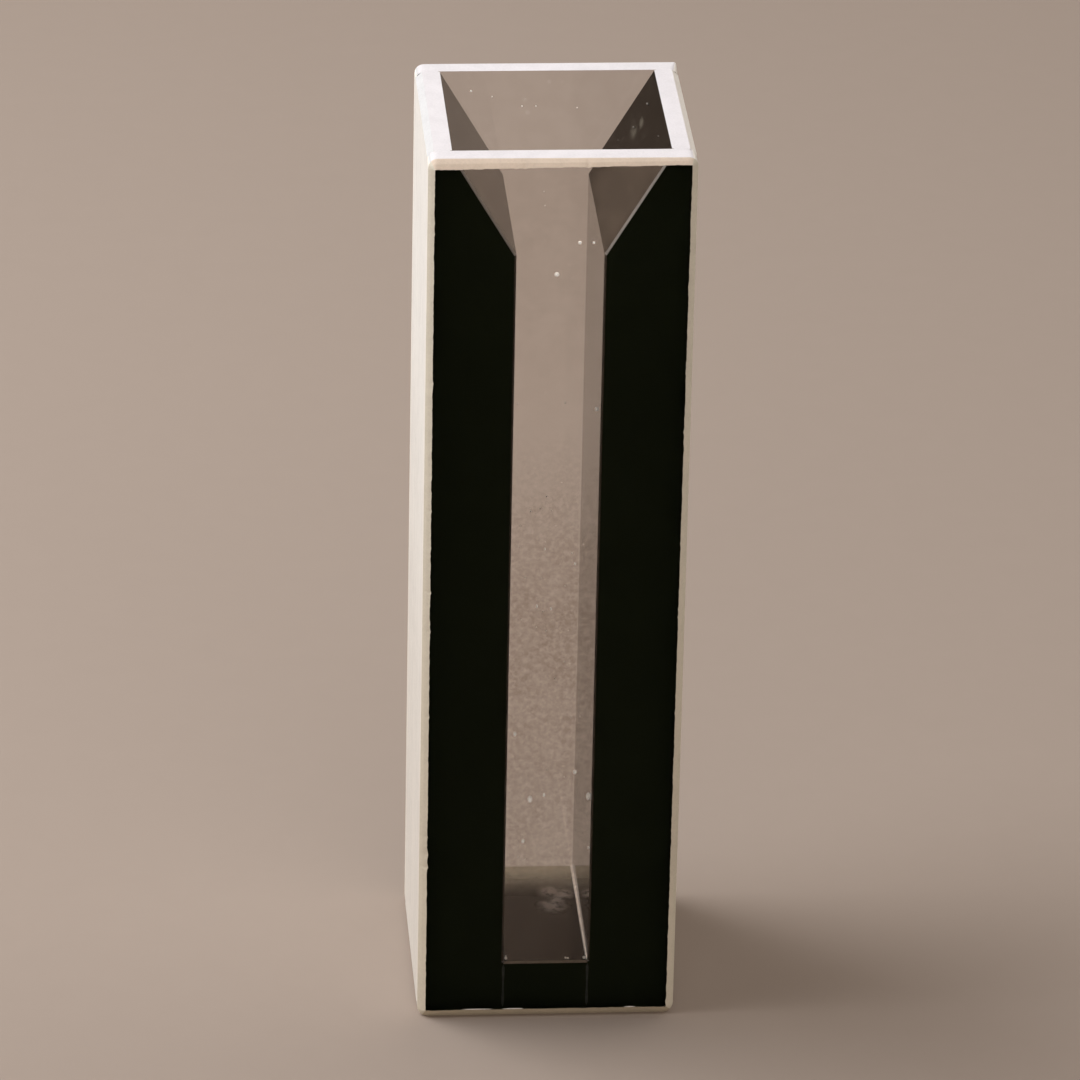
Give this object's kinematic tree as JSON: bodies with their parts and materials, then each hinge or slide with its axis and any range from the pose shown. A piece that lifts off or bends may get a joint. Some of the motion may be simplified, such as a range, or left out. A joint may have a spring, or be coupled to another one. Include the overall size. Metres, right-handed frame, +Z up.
{
  "type": "cuvette",
  "caption": "Tall square quartz cuvette: clear front and rear windows, black masking walls, a narrow slot between them and a funnel mouth for filling.",
  "frame": {"origin": "centre of the bottom, on the surface that the cell stands on", "axes": "+Z up along the cell, +X across the slot to the right, -Y out through the front window"},
  "size_m": [0.0126, 0.0126, 0.045],
  "materials": {
    "clear_quartz": "clear fused quartz, polished on the large faces, ground matt white on the narrow edges and chamfers",
    "black_quartz": "black fused quartz, polished towards the slot, ground matt white on the outer faces, rim and chamfers"
  },
  "bodies": {
    "root": {"front_window": "clear_quartz", "rear_window": "clear_quartz", "left_wall": "black_quartz", "right_wall": "black_quartz", "base_block": "black_quartz"}
  },
  "joints": []
}
